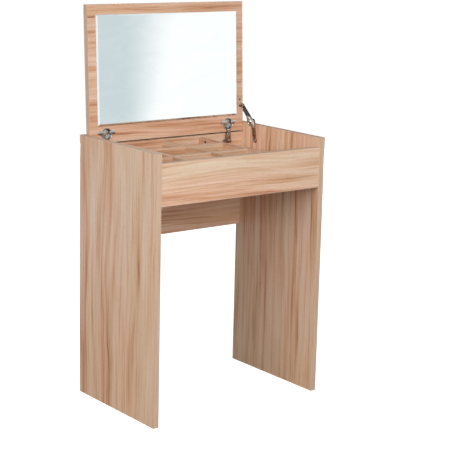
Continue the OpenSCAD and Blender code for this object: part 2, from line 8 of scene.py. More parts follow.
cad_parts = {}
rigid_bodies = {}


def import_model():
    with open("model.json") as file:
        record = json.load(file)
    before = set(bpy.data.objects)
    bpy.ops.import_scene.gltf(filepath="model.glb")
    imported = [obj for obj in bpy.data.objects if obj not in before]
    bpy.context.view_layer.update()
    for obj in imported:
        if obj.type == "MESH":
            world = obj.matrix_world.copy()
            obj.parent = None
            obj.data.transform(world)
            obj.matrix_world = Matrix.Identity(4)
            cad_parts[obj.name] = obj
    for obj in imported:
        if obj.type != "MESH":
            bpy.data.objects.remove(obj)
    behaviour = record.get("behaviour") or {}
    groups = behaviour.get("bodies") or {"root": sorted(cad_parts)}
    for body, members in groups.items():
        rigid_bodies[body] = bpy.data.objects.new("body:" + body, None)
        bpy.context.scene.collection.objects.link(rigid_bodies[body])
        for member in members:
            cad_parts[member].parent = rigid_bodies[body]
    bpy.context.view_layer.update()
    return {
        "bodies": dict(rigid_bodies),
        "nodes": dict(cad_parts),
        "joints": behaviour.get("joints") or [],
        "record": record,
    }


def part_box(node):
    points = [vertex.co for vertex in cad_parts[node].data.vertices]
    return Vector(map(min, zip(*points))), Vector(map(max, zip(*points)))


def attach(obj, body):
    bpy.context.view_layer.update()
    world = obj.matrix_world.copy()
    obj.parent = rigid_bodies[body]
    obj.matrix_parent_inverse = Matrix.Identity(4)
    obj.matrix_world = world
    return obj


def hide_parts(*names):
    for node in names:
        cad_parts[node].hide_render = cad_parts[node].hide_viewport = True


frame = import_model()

# Everything is in metres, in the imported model's own frame: +X to the sitter's right, +Y to the wall.
MM = 0.001
RECORD = frame["record"]
NODES = frame["nodes"]
JOINTS = {j["name"]: j for j in RECORD["behaviour"]["joints"]}


# -------- camera, light and stage

CAMERA_PLACE = Vector((-2.4249, -3.2556, 1.4079))
CAMERA_AZIMUTH = math.radians(38.14)
CAMERA_ELEVATION = math.radians(-12.805)
CAMERA_ROLL = math.radians(1.4528)
CAMERA_LENS = 107.59
CAMERA_SENSOR = 36.0
CAMERA_REACH = 200.0

# Strength of the surrounding light above and below the horizon, and as the camera sees it
WORLD_ABOVE = 0.28
WORLD_BELOW = 0.12
WORLD_SEEN = 1.0
WORLD_BELOW_UP_TO = -0.25
WORLD_ABOVE_FROM = 0.6

# Name, place, what it faces, size, power in watts, colour
TABLE_MIDDLE = (0.0, 0.0, 0.65)
SOFTBOXES = [
    ("key_softbox", (-1.0, -3.4, 1.9), TABLE_MIDDLE, (2.4, 1.8), 100.0, (1.0, 0.985, 0.96)),
    ("side_softbox", (-2.9, -0.9, 1.9), TABLE_MIDDLE, (1.6, 1.2), 47.0, (1.0, 0.99, 0.98)),
    ("back_softbox", (2.9, 3.6, 0.34), (0.0, 0.0, 0.34), (2.2, 0.66), 45.0, (1.0, 1.0, 1.0)),
]

FLOOR_HALF = 60.0
FLOOR_GREY = 236
FLOOR_ROUGHNESS = 0.9
FLOOR_GLOW = 0.80

# The reflector card goes from white on the left through grey to white, by a step that widens upwards
CARD_Y = -2.2
CARD_LEFT_END = -5.0
CARD_RIGHT_END = 6.5
CARD_FOOT = 0.01
CARD_TOP = 3.6
CARD_LEFT_WHITE = 0.55
CARD_LEFT_GREY = 0.80
CARD_GREY_AT = 1.38
CARD_STEP_WIDTH = 0.02
CARD_STEP_WIDENS = 0.32
CARD_GREY = (0.66, 0.735, 0.75, 1.0)
CARD_BRIGHT = (1.10, 1.10, 1.10, 1.0)

BLACK = (0.0, 0.0, 0.0, 1.0)
WHITE = (1.0, 1.0, 1.0, 1.0)

# Sockets of a Mix node, a set for each data type
MIX_FACTOR = 0
FLOAT_A, FLOAT_B, FLOAT_RESULT = 2, 3, 0
COLOUR_A, COLOUR_B, COLOUR_RESULT = 6, 7, 2


def aim(place, target):
    """The rotation that points an object's -Z from place at target."""
    return (target - place).to_track_quat("-Z", "Y").to_euler()


def make_camera():
    """The camera of the photograph, solved from the straight edges of the boards."""
    forward = Vector((
        math.sin(CAMERA_AZIMUTH) * math.cos(CAMERA_ELEVATION),
        math.cos(CAMERA_AZIMUTH) * math.cos(CAMERA_ELEVATION),
        math.sin(CAMERA_ELEVATION),
    ))
    level = forward.cross(Vector((0, 0, 1))).normalized()
    right = level * math.cos(CAMERA_ROLL) + level.cross(forward) * math.sin(CAMERA_ROLL)
    up = right.cross(forward)
    turn = Matrix((right, up, -forward)).transposed()
    data = bpy.data.cameras.new("photo_camera")
    data.sensor_width = CAMERA_SENSOR
    data.lens = CAMERA_LENS
    data.clip_end = CAMERA_REACH
    camera = bpy.data.objects.new("photo_camera", data)
    camera.matrix_world = Matrix.Translation(CAMERA_PLACE) @ turn.to_4x4()
    bpy.context.scene.collection.objects.link(camera)
    bpy.context.scene.camera = camera


def softbox(name, place, target, size, power, colour):
    data = bpy.data.lights.new(name, "AREA")
    data.shape = "RECTANGLE"
    data.size, data.size_y = size
    data.energy = power
    data.color = colour
    light = bpy.data.objects.new(name, data)
    light.location = place
    light.rotation_euler = aim(Vector(place), Vector(target))
    bpy.context.scene.collection.objects.link(light)


def make_world():
    """Soft light from all round, brighter from above, and plain white where the camera sees it."""
    world = bpy.data.worlds.new("studio")
    bpy.context.scene.world = world
    world.use_nodes = True
    nodes, links = world.node_tree.nodes, world.node_tree.links
    direction = nodes.new("ShaderNodeTexCoord").outputs["Generated"]
    parts = nodes.new("ShaderNodeSeparateXYZ")
    links.new(direction, parts.inputs[0])
    height = nodes.new("ShaderNodeMapRange")
    links.new(parts.outputs["Z"], height.inputs["Value"])
    height.inputs["From Min"].default_value = WORLD_BELOW_UP_TO
    height.inputs["From Max"].default_value = WORLD_ABOVE_FROM
    height.inputs["To Min"].default_value = WORLD_BELOW
    height.inputs["To Max"].default_value = WORLD_ABOVE
    nodes["Background"].inputs["Color"].default_value = WHITE
    seen = nodes.new("ShaderNodeMix")
    camera_ray = nodes.new("ShaderNodeLightPath").outputs["Is Camera Ray"]
    links.new(camera_ray, seen.inputs[MIX_FACTOR])
    links.new(height.outputs["Result"], seen.inputs[FLOAT_A])
    seen.inputs[FLOAT_B].default_value = WORLD_SEEN
    links.new(seen.outputs[FLOAT_RESULT], nodes["Background"].inputs["Strength"])


def make_lights():
    for row in SOFTBOXES:
        softbox(*row)
    view = bpy.context.scene.view_settings
    view.view_transform = "Standard"
    view.look = "None"


# -------- materials


def rgb(r, g, b):
    """A linear RGBA colour from 0 to 255 display values."""
    linear = [((c / 255 + 0.055) / 1.055) ** 2.4 if c > 10 else c / 255 / 12.92 for c in (r, g, b)]
    return (*linear, 1.0)


class Paint:
    """One material and short ways to add nodes to it."""

    def __init__(self, name, metallic=0.0, specular=0.5):
        self.material = bpy.data.materials.new(name)
        self.material.use_nodes = True
        self.tree = self.material.node_tree
        self.shader = self.tree.nodes["Principled BSDF"]
        self.shader.inputs["Metallic"].default_value = metallic
        self.shader.inputs["Specular IOR Level"].default_value = specular
        self.place = self.node("ShaderNodeTexCoord").outputs["Object"]

    def node(self, kind, values=None, **settings):
        """A new node with these settings, whose inputs take numbers or other nodes' sockets."""
        made = self.tree.nodes.new(kind)
        for key, value in settings.items():
            setattr(made, key, value)
        for key, value in (values or {}).items():
            if isinstance(value, bpy.types.NodeSocket):
                self.tree.links.new(value, made.inputs[key])
            else:
                made.inputs[key].default_value = value
        return made

    def math(self, operation, a, b=0.0, c=0.0, clamp=False):
        settings = {"operation": operation, "use_clamp": clamp}
        return self.node("ShaderNodeMath", {0: a, 1: b, 2: c}, **settings).outputs[0]

    def stretched(self, vector, scale, shift=(0.0, 0.0, 0.0), turn=(0.0, 0.0, 0.0)):
        """Coordinates that are turned, scaled (cycles per metre) and shifted."""
        values = {"Vector": vector, "Location": shift, "Rotation": turn, "Scale": scale}
        return self.node("ShaderNodeMapping", values).outputs["Vector"]

    def noise(self, vector, scale=1.0, detail=3.0, roughness=0.55, distortion=0.0):
        values = {"Vector": vector, "Scale": scale, "Detail": detail, "Roughness": roughness,
                  "Distortion": distortion}
        return self.node("ShaderNodeTexNoise", values).outputs["Fac"]

    def span(self, value, low, high, to_low=0.0, to_high=1.0):
        """A smooth step from to_low at low to to_high at high."""
        values = {"Value": value, "From Min": low, "From Max": high, "To Min": to_low, "To Max": to_high}
        return self.node("ShaderNodeMapRange", values, interpolation_type="SMOOTHSTEP").outputs["Result"]

    def ramp(self, value, stops):
        made = self.node("ShaderNodeValToRGB", {"Fac": value})
        elements = made.color_ramp.elements
        for position, colour in stops[2:]:
            elements.new(position)
        for element, (position, colour) in zip(elements, stops):
            element.position = position
            element.color = colour
        return made.outputs["Color"]

    def mix(self, factor, a, b, blend="MIX"):
        made = self.node("ShaderNodeMix", data_type="RGBA", blend_type=blend)
        for index, value in ((MIX_FACTOR, factor), (COLOUR_A, a), (COLOUR_B, b)):
            if isinstance(value, bpy.types.NodeSocket):
                self.tree.links.new(value, made.inputs[index])
            else:
                made.inputs[index].default_value = value
        return made.outputs[COLOUR_RESULT]

    def finish(self, colour, roughness, height=None, strength=0.0, distance=0.0):
        """Joins the colour, the roughness and, where there is one, the relief to the shader."""
        links = self.tree.links
        links.new(colour, self.shader.inputs["Base Color"])
        links.new(roughness, self.shader.inputs["Roughness"])
        if height is not None:
            values = {"Strength": strength, "Distance": distance, "Height": height}
            bump = self.node("ShaderNodeBump", values)
            links.new(bump.outputs["Normal"], self.shader.inputs["Normal"])
        return self.material


def tones(stops, *colours):
    """Colour stops from the darkest vein to the palest band."""
    return [(stop, rgb(*colour)) for stop, colour in zip(stops, colours)]


BOARD_STOPS = (0.00, 0.14, 0.30, 0.48, 0.64, 0.82, 1.00)
OAK_TONES = tones(BOARD_STOPS, (150, 92, 56), (186, 134, 98), (205, 158, 125), (217, 178, 150),
                  (223, 190, 165), (226, 199, 178), (228, 206, 186))
LID_TONES = tones(BOARD_STOPS, (144, 88, 55), (179, 127, 93), (197, 148, 114), (208, 166, 137),
                  (214, 177, 151), (218, 187, 165), (221, 196, 176))
# Painted shade: the compartment floor and dividers take a darker copy of the wood tones, for the shade
# inside the compartment
INNER_SHADED_TONES = tones(BOARD_STOPS, (138, 82, 50), (170, 119, 84), (188, 141, 108), (200, 160, 130),
                    (206, 172, 145), (211, 182, 159), (214, 189, 167))
EDGE_TONES = tones((0.30, 0.42, 0.52, 0.62, 0.72, 0.80), (176, 142, 116), (196, 163, 138),
                   (206, 175, 151), (213, 184, 162), (217, 190, 168), (219, 194, 172))

# How finely each noise of the wood runs, in cycles per metre across the grain, along it and into it
SWAY_SLOW = (4.0, 1.5, 4.0)
SWAY_QUICK = (16.0, 7.0, 16.0)
FOIL_FADE = (9.0, 2.0, 4.0)
BROAD = (17.0, 1.6, 6.0)
BAND = (75.0, 2.4, 22.0)
STREAK = (260.0, 4.0, 70.0)
FIBRE = (1900.0, 26.0, 600.0)
VEIN = (120.0, 1.7, 30.0)
PINK = (11.0, 0.9, 9.0)
PORE = (1400.0, 55.0, 900.0)

# How much each moves the tone, and the tone that they move
TONE_MIDDLE = 0.56
FOIL_WEIGHT = 0.115
BROAD_WEIGHT = 0.75
BAND_WEIGHT = 1.5
STREAK_WEIGHT = 1.1
VEIN_WEIGHT = 0.16

# Tints laid over the tones, the painted shade that darkens the side panels towards the floor, and the
# colours of pores, worn edges and scuffs
TINT_GREEN, TINT_PINK = (0.965, 0.975, 0.925, 1.0), (1.02, 0.97, 0.965, 1.0)
PAINTED_FALLOFF_FOOT, PAINTED_FALLOFF_TOP = (0.96, 0.91, 0.80, 1.0), (1.01, 1.0, 1.0, 1.0)
PORE_BROWN = rgb(120, 84, 60)
WORN_PALE = rgb(226, 206, 184)
SCUFF_GREY = rgb(206, 190, 170)

SEED_STEPS = (3.71, 5.13, 2.39)
METAL_CLOUDS = 260.0
METAL_HAIRLINES = 900.0

# The axes across the grain, along it and into the board, for each way that a board stands
UPRIGHT = ("Y", "Z", "X")
ACROSS_FRONT = ("Z", "X", "Y")
FLAT = ("Y", "X", "Z")
FRONT_TO_BACK = ("Z", "Y", "X")


def untilted(paint, tilt):
    """Object coordinates turned back upright on a board that leans by the tilt."""
    return paint.stretched(paint.place, (1.0, 1.0, 1.0), turn=(tilt, 0.0, 0.0))


def grain_place(paint, turned, order, seed):
    """Coordinates as (across the grain, along it, into the board), moved to a fresh part."""
    parts = paint.node("ShaderNodeSeparateXYZ", {0: turned})
    joined = {i: parts.outputs[axis] for i, axis in enumerate(order)}
    vector = paint.node("ShaderNodeCombineXYZ", joined).outputs[0]
    return paint.stretched(vector, (1.0, 1.0, 1.0), tuple(seed * step for step in SEED_STEPS))


def edge_wear(paint, box, order):
    """1 at the outer edges of a board's face and 0 inside, broken up by noise."""
    parts = paint.node("ShaderNodeSeparateXYZ", {0: paint.place})
    low, high = box
    nearest = None
    for axis in order[:2]:
        i = "XYZ".index(axis)
        a = paint.math("SUBTRACT", parts.outputs[axis], low[i])
        b = paint.math("SUBTRACT", high[i], parts.outputs[axis])
        near = paint.math("MINIMUM", a, b)
        nearest = near if nearest is None else paint.math("MINIMUM", nearest, near)
    patchy = paint.noise(paint.place, scale=60.0, detail=3.0)
    reach = paint.math("MULTIPLY_ADD", patchy, 5.0 * MM, 0.5 * MM)
    inside = paint.math("DIVIDE", nearest, reach)
    return paint.span(inside, 0.0, 1.0, 1.0, 0.0)


def wood_tone(paint, across, bent, sway, streak, pitch, start, veins):
    """Where the wood lies between its darkest vein, 0, and its palest band, 1."""
    # Broad bands repeat at the pitch of the printed foil, and fade in and out along the grain
    place = paint.math("SUBTRACT", paint.math("ADD", across, sway), start)
    turns = paint.math("MULTIPLY", place, 1 / pitch)
    foil = paint.math("COSINE", paint.math("MULTIPLY", turns, 2 * math.pi))
    fade = paint.noise(paint.stretched(bent, FOIL_FADE), detail=1.0)
    foil = paint.math("MULTIPLY", foil, paint.span(fade, 0.3, 0.7, 0.25, 1.0))
    tone = paint.math("MULTIPLY_ADD", foil, FOIL_WEIGHT, TONE_MIDDLE)
    broad = paint.noise(paint.stretched(bent, BROAD), detail=2.0, roughness=0.5)
    band = paint.noise(paint.stretched(bent, BAND), detail=3.0, roughness=0.55)
    for part, weight in ((broad, BROAD_WEIGHT), (band, BAND_WEIGHT), (streak, STREAK_WEIGHT)):
        tone = paint.math("MULTIPLY_ADD", paint.math("SUBTRACT", part, 0.5), weight, tone)
    # Veins are the narrow crests of a finer noise, and only the warm bands carry them strongly
    crest = paint.noise(paint.stretched(bent, VEIN, (2.0, 9.0, 4.0)), detail=2.0, roughness=0.5)
    vein = paint.math("ABSOLUTE", paint.math("SUBTRACT", crest, 0.5))
    vein = paint.span(vein, 0.0, 0.035, 1.0, 0.0)
    warm = paint.span(tone, 0.35, 0.75, 1.0, 0.15)
    vein = paint.math("MULTIPLY", paint.math("MULTIPLY", vein, warm), VEIN_WEIGHT * veins)
    return paint.math("SUBTRACT", tone, vein, clamp=True)


def wood(name, node, order, stops, seed, tilt, wave, pitch, start, veins):
    """Satin wood-grain melamine: broad pale and warm bands, streaks, thin veins, pores, worn edges."""
    paint = Paint(name, specular=0.42)
    turned = untilted(paint, tilt)
    across = paint.node("ShaderNodeSeparateXYZ", {0: turned}).outputs[order[0]]
    grain = grain_place(paint, turned, order, seed)
    slow = paint.noise(paint.stretched(grain, SWAY_SLOW), detail=1.0)
    quick = paint.noise(paint.stretched(grain, SWAY_QUICK), detail=2.0)
    quick = paint.math("MULTIPLY", paint.math("SUBTRACT", quick, 0.5), 0.22 * wave)
    sway = paint.math("MULTIPLY_ADD", paint.math("SUBTRACT", slow, 0.5), wave, quick)
    shift = paint.node("ShaderNodeCombineXYZ", {0: sway}).outputs[0]
    bent = paint.node("ShaderNodeVectorMath", {0: grain, 1: shift}).outputs[0]
    streak = paint.noise(paint.stretched(bent, STREAK), detail=3.0, roughness=0.6)
    fibre = paint.noise(paint.stretched(bent, FIBRE), detail=2.0, roughness=0.6)
    tone = wood_tone(paint, across, bent, sway, streak, pitch, start, veins)
    colour = paint.ramp(tone, stops)
    pink = paint.noise(paint.stretched(bent, PINK, (5.0, 1.0, 3.0)), detail=2.0)
    hue = paint.mix(paint.span(pink, 0.34, 0.66), TINT_GREEN, TINT_PINK)
    colour = paint.mix(1.0, colour, hue, "MULTIPLY")
    if order == UPRIGHT:
        # Painted shade: the side panels are darker and yellower towards the floor, for the light that
        # falls off downwards
        along = paint.node("ShaderNodeSeparateXYZ", {0: paint.place}).outputs[order[1]]
        painted_falloff = paint.mix(paint.span(along, 0.05, 0.65), PAINTED_FALLOFF_FOOT, PAINTED_FALLOFF_TOP)
        colour = paint.mix(1.0, colour, painted_falloff, "MULTIPLY")
    fine = paint.span(fibre, 0.3, 0.7, 0.95, 1.04)
    colour = paint.mix(1.0, colour, fine, "MULTIPLY")
    pores = paint.noise(paint.stretched(bent, PORE, (7.0, 3.0, 1.0)), detail=1.0)
    pores = paint.span(pores, 0.60, 0.72)
    colour = paint.mix(paint.math("MULTIPLY", pores, 0.25), colour, PORE_BROWN)
    worn = edge_wear(paint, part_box(node), order)
    colour = paint.mix(paint.math("MULTIPLY", worn, 0.16), colour, WORN_PALE)
    rough = paint.math("MULTIPLY_ADD", fibre, 0.16, 0.40)
    rough = paint.math("MULTIPLY_ADD", worn, 0.10, rough)
    height = paint.math("MULTIPLY_ADD", pores, -0.8, fibre)
    height = paint.math("MULTIPLY_ADD", streak, 0.5, height)
    return paint.finish(colour, rough, height, 0.16, 0.08 * MM)


def edging(name, across, seed, tilt=0.0, specular=0.28):
    """Edge strip printed with fine straight lines that run round the board's rim."""
    paint = Paint(name, specular=specular)
    turned = untilted(paint, tilt)
    line_scale = [420.0 if axis == across else 5.0 for axis in "XYZ"]
    fine_scale = [2400.0 if axis == across else 40.0 for axis in "XYZ"]
    lines = paint.stretched(turned, line_scale, (seed, seed, seed))
    lines = paint.noise(lines, detail=4.0, roughness=0.65)
    fine = paint.noise(paint.stretched(turned, fine_scale), detail=2.0)
    tone = paint.math("MULTIPLY_ADD", lines, 0.8, paint.math("MULTIPLY", fine, 0.2))
    colour = paint.ramp(tone, EDGE_TONES)
    scuffs = paint.span(paint.noise(paint.place, 130.0, 4.0), 0.58, 0.75)
    colour = paint.mix(paint.math("MULTIPLY", scuffs, 0.25), colour, SCUFF_GREY)
    rough = paint.math("MULTIPLY_ADD", fine, 0.2, 0.42)
    return paint.finish(colour, rough, tone, 0.12, 0.06 * MM)


def metal(name, dark, light, rough_low, rough_high):
    """Plated steel: cloudy tone, fine scratches and handled patches."""
    paint = Paint(name, metallic=1.0)
    cloud = paint.noise(paint.place, METAL_CLOUDS, 4.0, 0.6)
    colour = paint.mix(paint.span(cloud, 0.2, 0.8), dark, light)
    hair = paint.stretched(paint.place, (METAL_HAIRLINES, METAL_HAIRLINES, METAL_HAIRLINES))
    hair = paint.noise(hair, detail=3.0, roughness=0.7)
    worn = paint.math("MULTIPLY_ADD", cloud, 0.6, paint.math("MULTIPLY", hair, 0.4))
    rough = paint.span(worn, 0.28, 0.72, rough_low, rough_high)
    return paint.finish(colour, rough, hair, 0.05, 0.02 * MM)


def mirror_glass():
    """Silvered glass with pale polished edges, and faint wiping marks in its gloss."""
    paint = Paint("mirror_glass")
    smear = paint.noise(paint.stretched(paint.place, (9.0, 9.0, 22.0)), 1.0, 4.0, 0.6, 0.8)
    dust = paint.noise(paint.place, 900.0, 2.0)
    normal = paint.node("ShaderNodeNewGeometry").outputs["Normal"]
    local = paint.node("ShaderNodeVectorTransform", {0: normal}, vector_type="NORMAL",
                       convert_from="WORLD", convert_to="OBJECT").outputs[0]
    facing = paint.node("ShaderNodeSeparateXYZ", {0: local})
    face = paint.span(paint.math("ABSOLUTE", facing.outputs["Y"]), 0.5, 0.8)
    rough = paint.span(smear, 0.5, 0.8, 0.008, 0.03)
    rough = paint.math("MULTIPLY_ADD", paint.span(dust, 0.66, 0.8), 0.05, rough)
    rough = paint.math("MULTIPLY_ADD", paint.math("SUBTRACT", 1.0, face), 0.30, rough)
    silver = paint.mix(paint.span(smear, 0.3, 0.7), rgb(236, 240, 241), rgb(241, 244, 245))
    edge = paint.mix(smear, rgb(196, 212, 206), rgb(222, 232, 228))
    paint.tree.links.new(face, paint.shader.inputs["Metallic"])
    return paint.finish(paint.mix(face, edge, silver), rough)


def plain(name, dark, light, scale, rough, specular=0.4):
    """A moulded or turned material: two close tones in cloudy noise, with a fine grain."""
    paint = Paint(name, specular=specular)
    cloud = paint.noise(paint.place, scale, 4.0)
    grain = paint.noise(paint.place, scale * 12, 2.0)
    colour = paint.mix(paint.span(cloud, 0.35, 0.65), dark, light)
    rough = paint.math("MULTIPLY_ADD", grain, 0.2, rough)
    return paint.finish(colour, rough, grain, 0.1, 0.05 * MM)


LID_TILT = math.radians(JOINTS["lid_hinge"]["range_deg"][1] - 90.0)
SOFTENED = 0.35 * MM
SOFTENED_CASTING = 0.15 * MM
WELDED = 0.002 * MM
SHARPEST_LEFT = math.radians(35)


def dress(node, material, soften=SOFTENED):
    """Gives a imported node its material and, where wanted, slightly rounded edges."""
    item = NODES[node]
    item.data.materials.clear()
    item.data.materials.append(material)
    if soften:
        weld = item.modifiers.new("weld", "WELD")
        weld.merge_threshold = WELDED
        bevel = item.modifiers.new("rounded_edges", "BEVEL")
        bevel.width = soften
        bevel.segments = 2
        bevel.limit_method = "ANGLE"
        bevel.angle_limit = SHARPEST_LEFT


# Node, grain, tones, seed, sway of the grain, pitch of the broad bands, middle of a pale one, veins
BOARDS = [
    ("left_side_panel", UPRIGHT, OAK_TONES, 1.0, 0.050, 0.132, -0.028, 0.8),
    ("right_side_panel", UPRIGHT, OAK_TONES, 2.3, 0.040, 0.074, -0.074, 1.3),
    ("front_apron", ACROSS_FRONT, OAK_TONES, 3.1, 0.045, 0.120, 0.707, 0.2),
    ("back_panel", ACROSS_FRONT, LID_TONES, 4.7, 0.060, 0.170, 0.730, 0.8),
    ("compartment_floor", FLAT, INNER_SHADED_TONES, 5.9, 0.060, 0.110, 0.0, 1.0),
    ("lid_board", ACROSS_FRONT, LID_TONES, 7.9, 0.060, 0.090, 0.735, 1.1),
    ("left_divider", FRONT_TO_BACK, INNER_SHADED_TONES, 7.2, 0.040, 0.110, 0.70, 0.7),
    ("middle_divider", FRONT_TO_BACK, INNER_SHADED_TONES, 8.8, 0.040, 0.110, 0.70, 0.7),
    ("right_divider", FRONT_TO_BACK, INNER_SHADED_TONES, 9.5, 0.040, 0.110, 0.70, 0.7),
    ("rear_cross_divider", ACROSS_FRONT, INNER_SHADED_TONES, 10.6, 0.040, 0.110, 0.72, 0.7),
    ("front_cross_divider", ACROSS_FRONT, INNER_SHADED_TONES, 11.3, 0.040, 0.110, 0.72, 0.7),
]


def dress_boards():
    for node, order, stops, seed, wave, pitch, start, veins in BOARDS:
        tilt = LID_TILT if node == "lid_board" else 0.0
        dress(node, wood(f"wood_{node}", node, order, stops, seed, tilt, wave, pitch, start, veins))
    side_edging = edging("side_edging", "X", 1.0)
    long_edging = edging("long_edging", "Y", 2.0)
    for node in ("left_side_edging", "right_side_edging"):
        dress(node, side_edging)
    dress("apron_edging", long_edging)
    dress("back_panel_edging", edging("rear_edging", "Y", 4.0, specular=0.0))
    dress("lid_edging", edging("lid_edging", "Y", 3.0, LID_TILT))


def dress_fixings():
    zinc = metal("zinc_casting", rgb(150, 152, 156), rgb(188, 190, 194), 0.32, 0.5)
    beech = plain("beech", rgb(198, 158, 112), rgb(222, 188, 144), 300.0, 0.5)
    browned = metal("browned_cam", rgb(62, 44, 34), rgb(92, 68, 54), 0.42, 0.6)
    for node in ("cam_locks", "cam_bolts"):
        dress(node, zinc, SOFTENED_CASTING)
    for node in ("divider_cam_bolts", "divider_cam_locks"):
        dress(node, browned, SOFTENED_CASTING)
    for node in ("wooden_dowels", "divider_dowels"):
        dress(node, beech, 0.0)
    foam = plain("foam_tape", rgb(206, 206, 200), rgb(222, 222, 218), 400.0, 0.8)
    dress("mirror_tape", foam, 0.0)
    dress("lid_mirror", mirror_glass(), 0.0)


# -------- mesh tools


def circle(radius, steps):
    return [(radius * math.cos(2 * math.pi * i / steps), radius * math.sin(2 * math.pi * i / steps))
            for i in range(steps)]


def centre(low, high):
    return (low + high) / 2


def ease(value, low, high):
    """0 up to low, 1 from high on, and a smooth step between."""
    t = min(max((value - low) / (high - low), 0.0), 1.0)
    return t * t * (3 - 2 * t)


def rounded(width, height, radius, steps=6):
    """The outline of a rectangle with round corners, centred on (0, 0)."""
    corners = ((1, 1, 0), (-1, 1, 90), (-1, -1, 180), (1, -1, 270))
    points = []
    for sx, sy, start in corners:
        for i in range(steps + 1):
            a = math.radians(start + 90 * i / steps)
            points.append((sx * (width / 2 - radius) + radius * math.cos(a),
                           sy * (height / 2 - radius) + radius * math.sin(a)))
    return points


def inset(outline, distance):
    """Moves each point of a counter-clockwise outline inwards."""
    moved = []
    for i, (x, y) in enumerate(outline):
        (ax, ay), (bx, by) = outline[i - 1], outline[(i + 1) % len(outline)]
        along = Vector((bx - ax, by - ay)).normalized()
        moved.append((x - along.y * distance, y + along.x * distance))
    return moved


def path_frames(points, side):
    """For each point of an open path, its place and the two directions of the section there."""
    frames = []
    for i, point in enumerate(points):
        before, after = points[max(i - 1, 0)], points[min(i + 1, len(points) - 1)]
        along = (after - before).normalized()
        frames.append((point, side, side.cross(along).normalized()))
    return frames


# A point where a surface closes is a very small ring, which piece() then welds shut
NO_WIDTH_RING = 1e-7
NO_WIDTH_LEAF = 1e-6
CLOSE_POINTS = 0.0005 * MM
SMOOTH_UP_TO = math.radians(38)


class Shape:
    """Collects the surfaces of one piece, each skinned over a row of closed loops."""

    def __init__(self):
        self.mesh = bmesh.new()

    def rings(self, loops, frame=Matrix.Identity(4)):
        rows = [[self.mesh.verts.new(frame @ Vector(p)) for p in loop] for loop in loops]
        for low, high in zip(rows, rows[1:]):
            for i in range(len(low)):
                self.mesh.faces.new((low[i - 1], low[i], high[i], high[i - 1]))
        for end in (rows[0], rows[-1]):
            self.mesh.faces.new(end)

    def lathe(self, profile, frame, steps, relief=None):
        """Turns (radius, height) points about +Z; relief(x, y) is taken off the height."""
        loops = []
        for radius, height in profile:
            ring = circle(max(radius, NO_WIDTH_RING), steps)
            loops.append([(x, y, height - (relief(x, y) if relief else 0.0)) for x, y in ring])
        self.rings(loops, frame)

    def plate(self, outline, low, high, edge, frame):
        """A flat plate whose upper and lower edges are rounded."""
        curve = ((0.0, 1.0), (0.3, 0.3), (1.0, 0.0))
        levels = [(low + edge * h, edge * d) for h, d in curve]
        levels += [(high - edge * h, edge * d) for h, d in reversed(curve)]
        self.rings([[(x, y, z) for x, y in inset(outline, d)] for z, d in levels], frame)

    def leaf(self, half, start, end, top, bottom, frame, rows, columns):
        """A long thin shape: half(t) is its half width, and top and bottom(t, away, width) the
        heights of its faces at a distance away from its middle line."""
        loops = []
        for i in range(rows + 1):
            t = start + (end - start) * (0.5 - 0.5 * math.cos(math.pi * i / rows))
            width = max(half(t), NO_WIDTH_LEAF)
            across = [math.sin(math.pi * (k / columns - 0.5)) for k in range(columns + 1)]
            upper = [(t, s * width, top(t, s * width, width)) for s in across]
            lower = [(t, s * width, bottom(t, s * width, width)) for s in reversed(across)]
            loops.append(upper + lower)
        self.rings(loops, frame)

    def sweep(self, points, side, section):
        """Carries a section of (side, up) points along a path."""
        self.rings([[place + side_way * a + up * b for a, b in section(i / (len(points) - 1))]
                    for i, (place, side_way, up) in enumerate(path_frames(points, side))])

    def piece(self, name, body, material, replaces, slot="nickel_plate"):
        """Makes the object, and says its body and the nodes that it stands for; the slot argument is not
        used.
        """
        bmesh.ops.remove_doubles(self.mesh, verts=self.mesh.verts, dist=CLOSE_POINTS)
        bmesh.ops.dissolve_degenerate(self.mesh, edges=self.mesh.edges, dist=CLOSE_POINTS)
        bmesh.ops.recalc_face_normals(self.mesh, faces=self.mesh.faces)
        data = bpy.data.meshes.new(name)
        self.mesh.to_mesh(data)
        self.mesh.free()
        data.shade_smooth()
        data.set_sharp_from_angle(angle=SMOOTH_UP_TO)
        data.materials.append(material)
        made = bpy.data.objects.new(name, data)
        bpy.context.scene.collection.objects.link(made)
        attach(made, body)
        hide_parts(*replaces)
        return made


def box_in(node, frame_matrix):
    """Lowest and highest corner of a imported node, measured in a frame of its own."""
    back = frame_matrix.inverted()
    points = [back @ v.co for v in NODES[node].data.vertices]
    return (Vector([min(p[i] for p in points) for i in range(3)]),
            Vector([max(p[i] for p in points) for i in range(3)]))


def axes(origin, x, y, z):
    """The matrix of a frame with that origin and those axes."""
    turn = Matrix((x, y, z)).transposed().to_4x4()
    return Matrix.Translation(origin) @ turn


# -------- hardware

X = Vector((1, 0, 0))
Y = Vector((0, 1, 0))
Z = Vector((0, 0, 1))
LID_UP = Vector((0, math.sin(LID_TILT), math.cos(LID_TILT)))
LID_OUT = Vector((0, -math.cos(LID_TILT), math.sin(LID_TILT)))
LID_AXES = axes(Vector((0, 0, 0)), X, LID_UP, LID_OUT)
SWAP_XY = Matrix(((0, 1, 0, 0), (1, 0, 0, 0), (0, 0, 1, 0), (0, 0, 0, 1)))
SCREW_R = 3.2 * MM
SCREW_HEAD = 1.5 * MM
SHANK_R = 1.5 * MM
CUP_FLANGE = 1.2 * MM


def facing_front(place):
    return axes(Vector(place), X, Z, -Y)


def facing_right(place):
    return axes(Vector(place), Y, Z, X)


def facing_left(place):
    return axes(Vector(place), Y, -Z, -X)


def cross_recess(radius):
    """The depth of a cross-head recess at (x, y) on a screw head."""
    arm_w, arm_l, depth, soft = 0.15 * radius, 0.62 * radius, 0.26 * radius, 0.07 * radius

    def depth_at(x, y):
        near, far = sorted((abs(x), abs(y)))
        across = min(max((arm_w + soft - near) / soft, 0.0), 1.0)
        along = min(max((arm_l - far) / (0.5 * arm_l), 0.0), 1.0)
        return depth * across * along
    return depth_at


